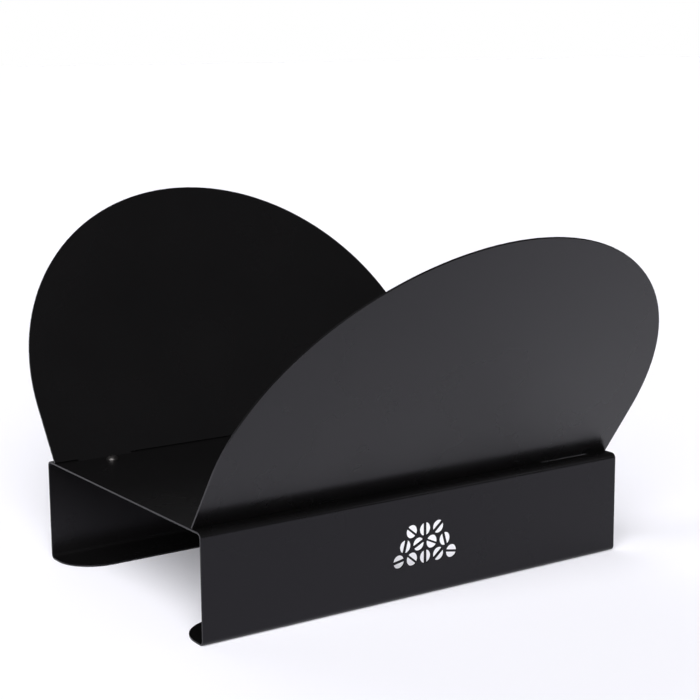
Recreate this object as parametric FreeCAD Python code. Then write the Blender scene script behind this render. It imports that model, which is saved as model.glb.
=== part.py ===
"""Firewood log rack: a folded sheet-steel base carrying two leaning side plates.

The base is one sheet folded into a low bench: a flat deck, a front and a rear leg, and a
foot flange turned inwards under each leg. Each side plate stands on the deck and leans
outwards, so that the two make a V-shaped cradle. Two tabs on each plate pass through slots
in the deck, bend flat under it, and are held there by a screw and a flange nut.

Units are millimetres. X runs along the logs, Y from the front plate to the rear plate,
and Z up. The origin is on the floor, under the middle of the deck.
"""
import FreeCAD, Part
import math
import os

os.makedirs("parts", exist_ok=True)

# ---- driving dimensions ----------------------------------------------------------------
# Base
base_length = 406.4
base_depth = 264.0
base_height = 86.5
sheet = 1.5
bend_inside_radius = 3.0
flange_depth = 47.0
flange_corner_radius = 34.5

# Side plates
plate_lean_degrees = 34.6
plate_straight_side = 53.5
plate_foot_setback = 13.0
plate_corner_radius = 0.6

# Tabs and the slots that they pass through
tab_width = 50.0
tab_centre_x = 156.8
tab_flat_length = 24.0
tab_corner_radius = 4.0
slot_end_clearance = 0.8
slot_outer_clearance = 0.3
slot_inner_clearance = 0.3

# Screws (M6 button head) and flange nuts
screw_radius = 3.0
screw_length = 12.0
screw_hole_radius = 3.3
screw_from_tab_bend = 13.0
head_radius = 5.25
head_height = 3.3
head_rim_height = 0.9
head_flat_radius = 2.9
hex_socket = 4.0
hex_socket_depth = 2.1
nut_across_flats = 10.0
nut_height = 6.0
nut_flange_radius = 7.1
nut_flange_rim = 1.1
nut_thread_clearance = 0.05
thread_chamfer = 0.8

# Cut-out in the front leg: a stacked pile of log ends
pile_row_counts = (5, 4, 3)
pile_pitch = 13.0
log_end_radius = 5.4
split_bar_width = 1.6
split_angle_step = 50.0

# ---- dimensions worked out from those above -----------------------------------------------
half_length = base_length / 2
half_depth = base_depth / 2
lean = math.radians(plate_lean_degrees)
deck_underside = base_height - sheet
plate_crown_radius = half_length
plate_foot_y = half_depth - plate_foot_setback
tab_bend_y = plate_foot_y - sheet / math.cos(lean) - sheet * math.tan(lean)
screw_y = tab_bend_y - screw_from_tab_bend
row_rise = pile_pitch * math.sin(math.radians(60))

X_AXIS = FreeCAD.Vector(1, 0, 0)
Y_AXIS = FreeCAD.Vector(0, 1, 0)
Z_AXIS = FreeCAD.Vector(0, 0, 1)
ORIGIN = FreeCAD.Vector(0, 0, 0)


# ---- shared shapes --------------------------------------------------------------------------
def vector_yz(y, z):
    return FreeCAD.Vector(0, y, z)


def turned_left(direction):
    """The direction turned a quarter turn anticlockwise in the YZ plane."""
    return vector_yz(-direction.z, direction.y)


def bent_sheet(corners, length, centre_x):
    """A folded strip of sheet, drawn in the YZ plane and as long as `length` along X.

    `corners` are the sharp corners of one face. The sheet lies on the left of that face,
    and every corner between the first and the last becomes a bend.
    """
    near_edges = []
    far_edges = []
    near_start = corners[0]
    first_direction = (corners[1] - corners[0]).normalize()
    far_start = corners[0] + turned_left(first_direction) * sheet
    start_cap = Part.makeLine(far_start, near_start)
    for before, corner, after in zip(corners, corners[1:], corners[2:]):
        way_in = (corner - before).normalize()
        way_out = (after - corner).normalize()
        turn = math.atan2(way_in.y * way_out.z - way_in.z * way_out.y, way_in.dot(way_out))
        side = math.copysign(1, turn)
        near_radius = bend_inside_radius + (sheet if turn > 0 else 0)
        tangent = near_radius * math.tan(abs(turn) / 2)
        near_in = corner - way_in * tangent
        near_out = corner + way_out * tangent
        centre = near_in + turned_left(way_in) * (near_radius * side)
        outward = (corner - centre).normalize()
        near_middle = centre + outward * near_radius
        far_in = near_in + turned_left(way_in) * sheet
        far_out = near_out + turned_left(way_out) * sheet
        far_middle = centre + outward * (near_radius - sheet * side)
        near_edges.append(Part.makeLine(near_start, near_in))
        near_edges.append(Part.Arc(near_in, near_middle, near_out).toShape())
        far_edges.append(Part.makeLine(far_start, far_in))
        far_edges.append(Part.Arc(far_in, far_middle, far_out).toShape())
        near_start = near_out
        far_start = far_out
    last_direction = (corners[-1] - corners[-2]).normalize()
    far_end = corners[-1] + turned_left(last_direction) * sheet
    near_edges.append(Part.makeLine(near_start, corners[-1]))
    far_edges.append(Part.makeLine(far_start, far_end))
    end_cap = Part.makeLine(corners[-1], far_end)
    edges = near_edges + [end_cap] + far_edges + [start_cap]
    profile = Part.Face(Part.Wire(Part.sortEdges(edges)[0]))
    profile.translate(X_AXIS * (centre_x - length / 2))
    return profile.extrude(X_AXIS * length)


def box_between(low, high):
    size = high - low
    return Part.makeBox(size.x, size.y, size.z, low)


def hexagonal_prism(across_flats, height, base):
    corner_radius = across_flats / math.sqrt(3)
    points = []
    for step in range(7):
        angle = math.radians(60 * step)
        offset = FreeCAD.Vector(math.cos(angle), math.sin(angle), 0) * corner_radius
        points.append(base + offset)
    return Part.Face(Part.makePolygon(points)).extrude(Z_AXIS * height)


def revolved(profile_points, centre):
    """A solid of revolution about the vertical line through `centre`.

    The profile is a list of (radius, height above the centre) points.
    """
    points = [FreeCAD.Vector(radius, 0, height) for radius, height in profile_points]
    face = Part.Face(Part.makePolygon(points + [points[0]]))
    solid = face.revolve(ORIGIN, Z_AXIS, 360)
    solid.translate(centre)
    return solid


def straight_edges(solid, direction, is_corner):
    """The straight edges along `direction` whose middle passes the test `is_corner`."""
    chosen = []
    for edge in solid.Edges:
        along = edge.tangentAt(edge.FirstParameter)
        straight = edge.Curve.TypeId == "Part::GeomLine"
        if straight and abs(along.dot(direction)) > 0.999 and is_corner(edge.CenterOfMass):
            chosen.append(edge)
    return chosen


def turned_to_rear(solid):
    """The same solid turned half a turn about Z, which takes a front piece to the rear."""
    turned = solid.copy()
    turned.rotate(ORIGIN, Z_AXIS, 180)
    return turned


# ---- base frame -----------------------------------------------------------------------------
def flange_end_cutter(side_x, side_y):
    """What is cut away to round the inner corner of a foot flange at one end."""
    inner_y = half_depth - flange_depth
    radius = flange_corner_radius
    corner = box_between(
        FreeCAD.Vector(half_length - radius, inner_y - 1, -1),
        FreeCAD.Vector(half_length + 1, inner_y + radius, sheet + 1),
    )
    centre = FreeCAD.Vector(half_length - radius, inner_y + radius, -1)
    corner = corner.cut(Part.makeCylinder(radius, sheet + 2, centre))
    if side_x < 0:
        corner = corner.mirror(ORIGIN, X_AXIS)
    if side_y < 0:
        corner = corner.mirror(ORIGIN, Y_AXIS)
    return corner


def tab_slot(side_x):
    """The opening in the deck for one tab of the front plate."""
    half_slot = tab_width / 2 + slot_end_clearance
    middle_x = side_x * tab_centre_x
    bend_allowance = bend_inside_radius * math.tan((math.pi / 2 - lean) / 2)
    outer_y = -plate_foot_y - slot_outer_clearance
    inner_y = -tab_bend_y + bend_allowance + slot_inner_clearance
    return box_between(
        FreeCAD.Vector(middle_x - half_slot, outer_y, deck_underside - 1),
        FreeCAD.Vector(middle_x + half_slot, inner_y, base_height + 1),
    )


def log_end_cutter(centre_x, centre_z, split_angle):
    """A round log end, split across by a thin bar of metal that is left standing."""
    leg_y = -half_depth
    centre = FreeCAD.Vector(centre_x, leg_y - 1, centre_z)
    disc = Part.makeCylinder(log_end_radius, sheet + 2, centre, Y_AXIS)
    reach = log_end_radius + 1
    bar = box_between(
        FreeCAD.Vector(centre_x - reach, leg_y - 2, centre_z - split_bar_width / 2),
        FreeCAD.Vector(centre_x + reach, leg_y + sheet + 2, centre_z + split_bar_width / 2),
    )
    bar.rotate(centre, Y_AXIS, split_angle)
    return disc.cut(bar)


def wood_pile_cutters():
    """Rows of log ends, stacked so that each row sits in the dips of the row below."""
    cutters = []
    bottom_z = base_height / 2 - row_rise * (len(pile_row_counts) - 1) / 2
    for row, count in enumerate(pile_row_counts):
        for place in range(count):
            steps_from_middle = place - (count - 1) / 2
            centre_x = steps_from_middle * pile_pitch
            centre_z = bottom_z + row * row_rise
            split_angle = 90 * (row + 1) + split_angle_step * steps_from_middle
            cutters.append(log_end_cutter(centre_x, centre_z, split_angle))
    return cutters


def screw_positions():
    """Each screw's name and its centre, as it lies in plan."""
    positions = []
    for end, side_y in (("front", -1), ("rear", 1)):
        for hand, side_x in (("left", -1), ("right", 1)):
            plan = FreeCAD.Vector(side_x * tab_centre_x, side_y * screw_y, 0)
            positions.append((f"{end}_{hand}", plan))
    return positions


def screw_hole(plan):
    return Part.makeCylinder(screw_hole_radius, 4 * sheet, plan + Z_AXIS * (base_height - 3 * sheet))


def make_base_frame():
    flange_inner_y = half_depth - flange_depth
    outer_face = [
        vector_yz(-flange_inner_y, 0),
        vector_yz(-half_depth, 0),
        vector_yz(-half_depth, base_height),
        vector_yz(half_depth, base_height),
        vector_yz(half_depth, 0),
        vector_yz(flange_inner_y, 0),
    ]
    # The outer face is listed the other way round, so that the sheet lies inside it.
    frame = bent_sheet(outer_face[::-1], base_length, 0)
    cutters = wood_pile_cutters()
    for side_x in (-1, 1):
        front_slot = tab_slot(side_x)
        cutters.append(front_slot)
        cutters.append(turned_to_rear(front_slot))
        for side_y in (-1, 1):
            cutters.append(flange_end_cutter(side_x, side_y))
    for _name, plan in screw_positions():
        cutters.append(screw_hole(plan))
    return frame.cut(cutters)


# ---- side plates ----------------------------------------------------------------------------
def plate_panel():
    """The flat panel, drawn upright in the XZ plane with its foot on the X axis."""
    left = FreeCAD.Vector(-half_length, 0, 0)
    right = FreeCAD.Vector(half_length, 0, 0)
    right_shoulder = FreeCAD.Vector(half_length, 0, plate_straight_side)
    left_shoulder = FreeCAD.Vector(-half_length, 0, plate_straight_side)
    crown = FreeCAD.Vector(0, 0, plate_straight_side + plate_crown_radius)
    outline = Part.Wire([
        Part.makeLine(left, right),
        Part.makeLine(right, right_shoulder),
        Part.Arc(right_shoulder, crown, left_shoulder).toShape(),
        Part.makeLine(left_shoulder, left),
    ])
    panel = Part.Face(outline).extrude(Y_AXIS * sheet)
    corners = straight_edges(panel, Y_AXIS, lambda middle: middle.z < 1)
    return panel.makeFillet(plate_corner_radius, corners)


def plate_tab(side_x):
    """One tab of the front plate: down through the deck, then flat against its underside."""
    foot = vector_yz(-plate_foot_y, base_height)
    up_the_plate = vector_yz(-math.sin(lean), math.cos(lean))
    inwards = turned_left(up_the_plate) * -1
    # The tab is drawn along its upper face, which is the plate's inner face.
    start = foot + inwards * sheet + up_the_plate * sheet
    bend = vector_yz(-tab_bend_y, deck_underside)
    end = vector_yz(-tab_bend_y + tab_flat_length, deck_underside)
    tab = bent_sheet([end, bend, start], tab_width, side_x * tab_centre_x)
    end_corners = straight_edges(tab, Z_AXIS, lambda middle: middle.y > end.y - 0.1)
    return tab.makeFillet(tab_corner_radius, end_corners)


def make_front_plate():
    panel = plate_panel()
    panel.rotate(ORIGIN, X_AXIS, plate_lean_degrees)
    panel.translate(vector_yz(-plate_foot_y, base_height))
    plate = panel.fuse([plate_tab(-1), plate_tab(1)]).removeSplitter()
    holes = [screw_hole(plan) for name, plan in screw_positions() if name.startswith("front")]
    return plate.cut(holes)


# ---- fasteners ------------------------------------------------------------------------------
def make_screw(plan):
    """A button-head screw, with its head on the deck and its shank pointing down."""
    seat = plan + Z_AXIS * base_height
    shank = revolved([
        (0, -screw_length),
        (screw_radius - thread_chamfer, -screw_length),
        (screw_radius, -screw_length + thread_chamfer),
        (screw_radius, 0),
        (0, 0),
    ], seat)
    # The dome is part of the sphere through the top of the rim and the edge of the flat.
    squares = head_flat_radius ** 2 + head_height ** 2 - head_radius ** 2 - head_rim_height ** 2
    dome_centre_z = squares / (2 * (head_height - head_rim_height))
    dome_radius = math.hypot(head_radius, head_rim_height - dome_centre_z)
    dome = Part.makeSphere(dome_radius, seat + Z_AXIS * dome_centre_z)
    head = Part.makeCylinder(head_radius, head_height, seat).common(dome)
    socket_floor = seat + Z_AXIS * (head_height - hex_socket_depth)
    socket = hexagonal_prism(hex_socket, hex_socket_depth + 1, socket_floor)
    return head.fuse(shank).removeSplitter().cut(socket)


def make_nut(plan):
    """A hexagonal flange nut, with its flange up against the underside of the tab."""
    seat = plan + Z_AXIS * (deck_underside - sheet)
    hexagon = hexagonal_prism(nut_across_flats, nut_height, seat - Z_AXIS * nut_height)
    corner_radius = nut_across_flats / math.sqrt(3)
    chamfer = corner_radius - nut_across_flats / 2
    tip_limit = revolved([
        (0, -nut_height),
        (nut_across_flats / 2, -nut_height),
        (corner_radius, -nut_height + chamfer),
        (corner_radius, 0),
        (0, 0),
    ], seat)
    flange = revolved([
        (0, -2 * nut_flange_rim),
        (nut_across_flats / 2, -2 * nut_flange_rim),
        (nut_flange_radius, -nut_flange_rim),
        (nut_flange_radius, 0),
        (0, 0),
    ], seat)
    bore_radius = screw_radius + nut_thread_clearance
    bore = Part.makeCylinder(bore_radius, nut_height + 2, seat - Z_AXIS * (nut_height + 1))
    return hexagon.common(tip_limit).fuse(flange).removeSplitter().cut(bore)


# ---- export -----------------------------------------------------------------------------------
base_frame = make_base_frame()
base_frame.exportStep("parts/base_frame.step")

front_side_plate = make_front_plate()
front_side_plate.exportStep("parts/front_side_plate.step")

rear_side_plate = turned_to_rear(front_side_plate)
rear_side_plate.exportStep("parts/rear_side_plate.step")

for name, plan in screw_positions():
    screw = make_screw(plan)
    screw.exportStep(f"parts/{name}_screw.step")
    nut = make_nut(plan)
    nut.exportStep(f"parts/{name}_nut.step")
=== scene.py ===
"""Looks of the firewood log rack: black powder-coated sheet steel with black fasteners.

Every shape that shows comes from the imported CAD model, so this script adds soft edges,
materials, the floor, the lights and the camera. Units are metres, in the CAD model's frame.
Places around the rack are given as an azimuth and an elevation in degrees: azimuth 0 is in
front of the rack, and negative azimuths are to its left.
"""
import math

import bpy
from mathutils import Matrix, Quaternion, Vector

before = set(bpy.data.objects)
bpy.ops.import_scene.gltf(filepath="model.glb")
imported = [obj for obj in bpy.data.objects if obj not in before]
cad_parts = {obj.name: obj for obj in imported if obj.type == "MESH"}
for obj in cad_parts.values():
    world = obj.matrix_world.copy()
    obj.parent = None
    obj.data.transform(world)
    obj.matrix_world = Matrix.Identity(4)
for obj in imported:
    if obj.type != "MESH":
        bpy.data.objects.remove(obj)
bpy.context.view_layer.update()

# ---- driving values -------------------------------------------------------------------------
MM = 0.001

# Camera: where it stands, its small roll in degrees, and its lens on a 36 mm sensor
CAMERA_AZIMUTH = -34.25
CAMERA_ELEVATION = 10.486
CAMERA_ROLL = -0.43
CAMERA_DISTANCE = 1.40
CAMERA_TARGET = Vector((0.0097, -0.0131, 0.1802))
CAMERA_LENS = 85.67
SENSOR_WIDTH = 36.0

# Floor and backdrop
FLOOR_SIZE = 60.0
FLOOR_COLOUR = (0.89, 0.885, 0.94, 1)
FLOOR_ROUGHNESS = 0.9
BACKDROP_COLOUR = (1, 1, 1, 1)
AMBIENT = 0.05

# Broad suns: a key from the front left, and a weak one from behind
SUN_WIDTH = 60.0
KEY_AZIMUTH = -45
KEY_ELEVATION = 32
KEY_STRENGTH = 5.9
BACK_AZIMUTH = 180
BACK_ELEVATION = 40
BACK_STRENGTH = 0.5

# Rim: a faint softbox on the front right
RIM_AZIMUTH = 41
RIM_ELEVATION = 27
RIM_DISTANCE = 2.0
RIM_SIZE = (0.35, 0.25)
RIM_POWER = 0.8

# Fill: a panel facing down, under the right half of the deck
FILL_X = 0.11
FILL_HEIGHT = 0.07
FILL_SIZE = (0.19, 0.20)
FILL_POWER = 0.18

# Powder coat
COAT_COLOUR = (0.0028, 0.0027, 0.0028, 1)
COAT_COLOUR_WORN = (0.0036, 0.0034, 0.0035, 1)
COAT_IOR = 1.5
COAT_SPECULAR = 0.24
COAT_SHEEN = (0.89, 0.87, 1.0, 1)
COAT_SMOOTHEST = 0.24
COAT_ROUGHEST = 0.29
MOTTLE_SCALE = 9
MOTTLE_DETAIL = 4
MOTTLE_LOW = 0.3
MOTTLE_HIGH = 0.7
PEEL_SCALE = 520
PEEL_DETAIL = 2
PEEL_STRENGTH = 0.35
PEEL_DEPTH = 0.04 * MM

# Black oxide of the screws and nuts
OXIDE_COLOUR = (0.030, 0.029, 0.031, 1)
OXIDE_COLOUR_WORN = (0.075, 0.070, 0.068, 1)
OXIDE_METALLIC = 0.9
OXIDE_ROUGHNESS = 0.38
OXIDE_CLOUD_SCALE = 260

# Softened edges: every edge that turns by more than EDGE_ANGLE degrees is rounded
EDGE_RADIUS = 0.16 * MM
FASTENER_EDGE_RADIUS = 0.4 * EDGE_RADIUS
EDGE_SEGMENTS = 2
EDGE_ANGLE = 40
WELD_DISTANCE = 0.001 * MM


def direction_of(azimuth, elevation):
    """The unit vector from the origin towards that azimuth and elevation."""
    around = math.radians(azimuth)
    up = math.radians(elevation)
    level = math.cos(up)
    return Vector((math.sin(around) * level, -math.cos(around) * level, math.sin(up)))


# ---- camera ---------------------------------------------------------------------------------
def make_camera():
    data = bpy.data.cameras.new("camera")
    data.lens = CAMERA_LENS
    data.sensor_width = SENSOR_WIDTH
    camera = bpy.data.objects.new("camera", data)
    offset = direction_of(CAMERA_AZIMUTH, CAMERA_ELEVATION) * CAMERA_DISTANCE
    camera.location = CAMERA_TARGET + offset
    roll = Quaternion((0, 0, 1), math.radians(CAMERA_ROLL))
    camera.rotation_euler = ((-offset).to_track_quat("-Z", "Y") @ roll).to_euler()
    bpy.context.scene.collection.objects.link(camera)
    bpy.context.scene.camera = camera


# ---- floor and backdrop ---------------------------------------------------------------------
def make_floor():
    half = FLOOR_SIZE / 2
    mesh = bpy.data.meshes.new("floor")
    corners = [(-half, -half, 0), (half, -half, 0), (half, half, 0), (-half, half, 0)]
    mesh.from_pydata(corners, [], [(0, 1, 2, 3)])
    floor = bpy.data.objects.new("floor", mesh)
    bpy.context.scene.collection.objects.link(floor)
    material = bpy.data.materials.new("pale_floor")
    material.use_nodes = True
    shader = material.node_tree.nodes["Principled BSDF"]
    shader.inputs["Base Color"].default_value = FLOOR_COLOUR
    shader.inputs["Roughness"].default_value = FLOOR_ROUGHNESS
    shader.inputs["Specular IOR Level"].default_value = 0.0
    mesh.materials.append(material)


def make_backdrop():
    """A backdrop that shows white to the camera and lights the rack only dimly."""
    world = bpy.data.worlds.new("studio")
    world.use_nodes = True
    tree = world.node_tree
    seen = tree.nodes.new("ShaderNodeLightPath").outputs["Is Camera Ray"]
    strength = tree.nodes.new("ShaderNodeMath")
    strength.operation = "MAXIMUM"
    strength.inputs[1].default_value = AMBIENT
    tree.links.new(seen, strength.inputs[0])
    background = tree.nodes["Background"]
    tree.links.new(strength.outputs["Value"], background.inputs["Strength"])
    background.inputs["Color"].default_value = BACKDROP_COLOUR
    bpy.context.scene.world = world


# ---- lights ---------------------------------------------------------------------------------
def place_light(data, place, target):
    """Puts a light that the camera doesn't see at `place`, facing `target`."""
    light = bpy.data.objects.new(data.name, data)
    light.location = place
    light.rotation_euler = (target - place).to_track_quat("-Z", "Y").to_euler()
    light.visible_camera = False
    bpy.context.scene.collection.objects.link(light)
    return light


def broad_sun(name, azimuth, elevation, strength):
    """A sun as wide as a big softbox, so that its shadows are soft."""
    data = bpy.data.lights.new(name, "SUN")
    data.energy = strength
    data.angle = math.radians(SUN_WIDTH)
    place_light(data, direction_of(azimuth, elevation), Vector())


def softbox(name, size, power):
    """The data of a rectangular area light."""
    data = bpy.data.lights.new(name, "AREA")
    data.shape = "RECTANGLE"
    data.size, data.size_y = size
    data.energy = power
    return data


def make_lights():
    broad_sun("key", KEY_AZIMUTH, KEY_ELEVATION, KEY_STRENGTH)
    broad_sun("back", BACK_AZIMUTH, BACK_ELEVATION, BACK_STRENGTH)

    # The rim light draws the thin bright line along the front bend.
    rim = softbox("rim", RIM_SIZE, RIM_POWER)
    place_light(rim, direction_of(RIM_AZIMUTH, RIM_ELEVATION) * RIM_DISTANCE, Vector())

    # The fill brightens the floor seen through the pierced logs, and shows in no reflection.
    fill = softbox("under_deck", FILL_SIZE, FILL_POWER)
    panel = place_light(fill, Vector((FILL_X, 0, FILL_HEIGHT)), Vector((FILL_X, 0, 0)))
    panel.visible_glossy = False


# ---- materials ------------------------------------------------------------------------------
def new_material(name):
    """A new material, with its nodes, its links and its shader."""
    material = bpy.data.materials.new(name)
    material.use_nodes = True
    tree = material.node_tree
    return material, tree.nodes, tree.links, tree.nodes["Principled BSDF"]


def colour_between(nodes, links, first, second, factor):
    """Mixes two colours by a socket that goes from 0 to 1, and gives the colour's socket."""
    mix = nodes.new("ShaderNodeMix")
    mix.data_type = "RGBA"
    mix.inputs["A"].default_value = first
    mix.inputs["B"].default_value = second
    links.new(factor, mix.inputs["Factor"])
    return mix.outputs["Result"]


def powder_coat():
    """Satin black powder coat: fine orange peel, faint mottling, softly varied gloss."""
    material, nodes, links, shader = new_material("black_powder_coat")
    shader.inputs["IOR"].default_value = COAT_IOR
    shader.inputs["Specular IOR Level"].default_value = COAT_SPECULAR
    shader.inputs["Specular Tint"].default_value = COAT_SHEEN
    place = nodes.new("ShaderNodeTexCoord")

    mottle = nodes.new("ShaderNodeTexNoise")
    mottle.inputs["Scale"].default_value = MOTTLE_SCALE
    mottle.inputs["Detail"].default_value = MOTTLE_DETAIL
    links.new(place.outputs["Object"], mottle.inputs["Vector"])
    tint = colour_between(nodes, links, COAT_COLOUR, COAT_COLOUR_WORN, mottle.outputs["Fac"])
    links.new(tint, shader.inputs["Base Color"])

    gloss = nodes.new("ShaderNodeMapRange")
    gloss.inputs["From Min"].default_value = MOTTLE_LOW
    gloss.inputs["From Max"].default_value = MOTTLE_HIGH
    gloss.inputs["To Min"].default_value = COAT_SMOOTHEST
    gloss.inputs["To Max"].default_value = COAT_ROUGHEST
    links.new(mottle.outputs["Fac"], gloss.inputs["Value"])
    links.new(gloss.outputs["Result"], shader.inputs["Roughness"])

    peel = nodes.new("ShaderNodeTexNoise")
    peel.inputs["Scale"].default_value = PEEL_SCALE
    peel.inputs["Detail"].default_value = PEEL_DETAIL
    links.new(place.outputs["Object"], peel.inputs["Vector"])
    bump = nodes.new("ShaderNodeBump")
    bump.inputs["Strength"].default_value = PEEL_STRENGTH
    bump.inputs["Distance"].default_value = PEEL_DEPTH
    links.new(peel.outputs["Fac"], bump.inputs["Height"])
    links.new(bump.outputs["Normal"], shader.inputs["Normal"])
    return material


def black_oxide():
    """Black-oxide steel of the screws and nuts: dark metal with faint lighter clouds."""
    material, nodes, links, shader = new_material("black_oxide_steel")
    shader.inputs["Metallic"].default_value = OXIDE_METALLIC
    shader.inputs["Roughness"].default_value = OXIDE_ROUGHNESS
    place = nodes.new("ShaderNodeTexCoord")
    cloud = nodes.new("ShaderNodeTexNoise")
    cloud.inputs["Scale"].default_value = OXIDE_CLOUD_SCALE
    links.new(place.outputs["Object"], cloud.inputs["Vector"])
    tint = colour_between(nodes, links, OXIDE_COLOUR, OXIDE_COLOUR_WORN, cloud.outputs["Fac"])
    links.new(tint, shader.inputs["Base Color"])
    return material


# ---- finish on the CAD pieces ---------------------------------------------------------------
def soften_edges(piece, radius):
    """Joins the faces up again and rounds the cut edges, as deburring and coating do."""
    weld = piece.modifiers.new("joined_faces", "WELD")
    weld.merge_threshold = WELD_DISTANCE
    bevel = piece.modifiers.new("soft_edges", "BEVEL")
    bevel.width = radius
    bevel.segments = EDGE_SEGMENTS
    bevel.limit_method = "ANGLE"
    bevel.angle_limit = math.radians(EDGE_ANGLE)
    normals = piece.modifiers.new("even_shading", "WEIGHTED_NORMAL")
    normals.keep_sharp = False


def finish_pieces():
    coat = powder_coat()
    oxide = black_oxide()
    for name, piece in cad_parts.items():
        fastener = name.endswith("_screw") or name.endswith("_nut")
        piece.data.materials.clear()
        piece.data.materials.append(oxide if fastener else coat)
        soften_edges(piece, FASTENER_EDGE_RADIUS if fastener else EDGE_RADIUS)


make_camera()
make_floor()
make_backdrop()
make_lights()
finish_pieces()
bpy.context.scene.view_settings.view_transform = "Standard"
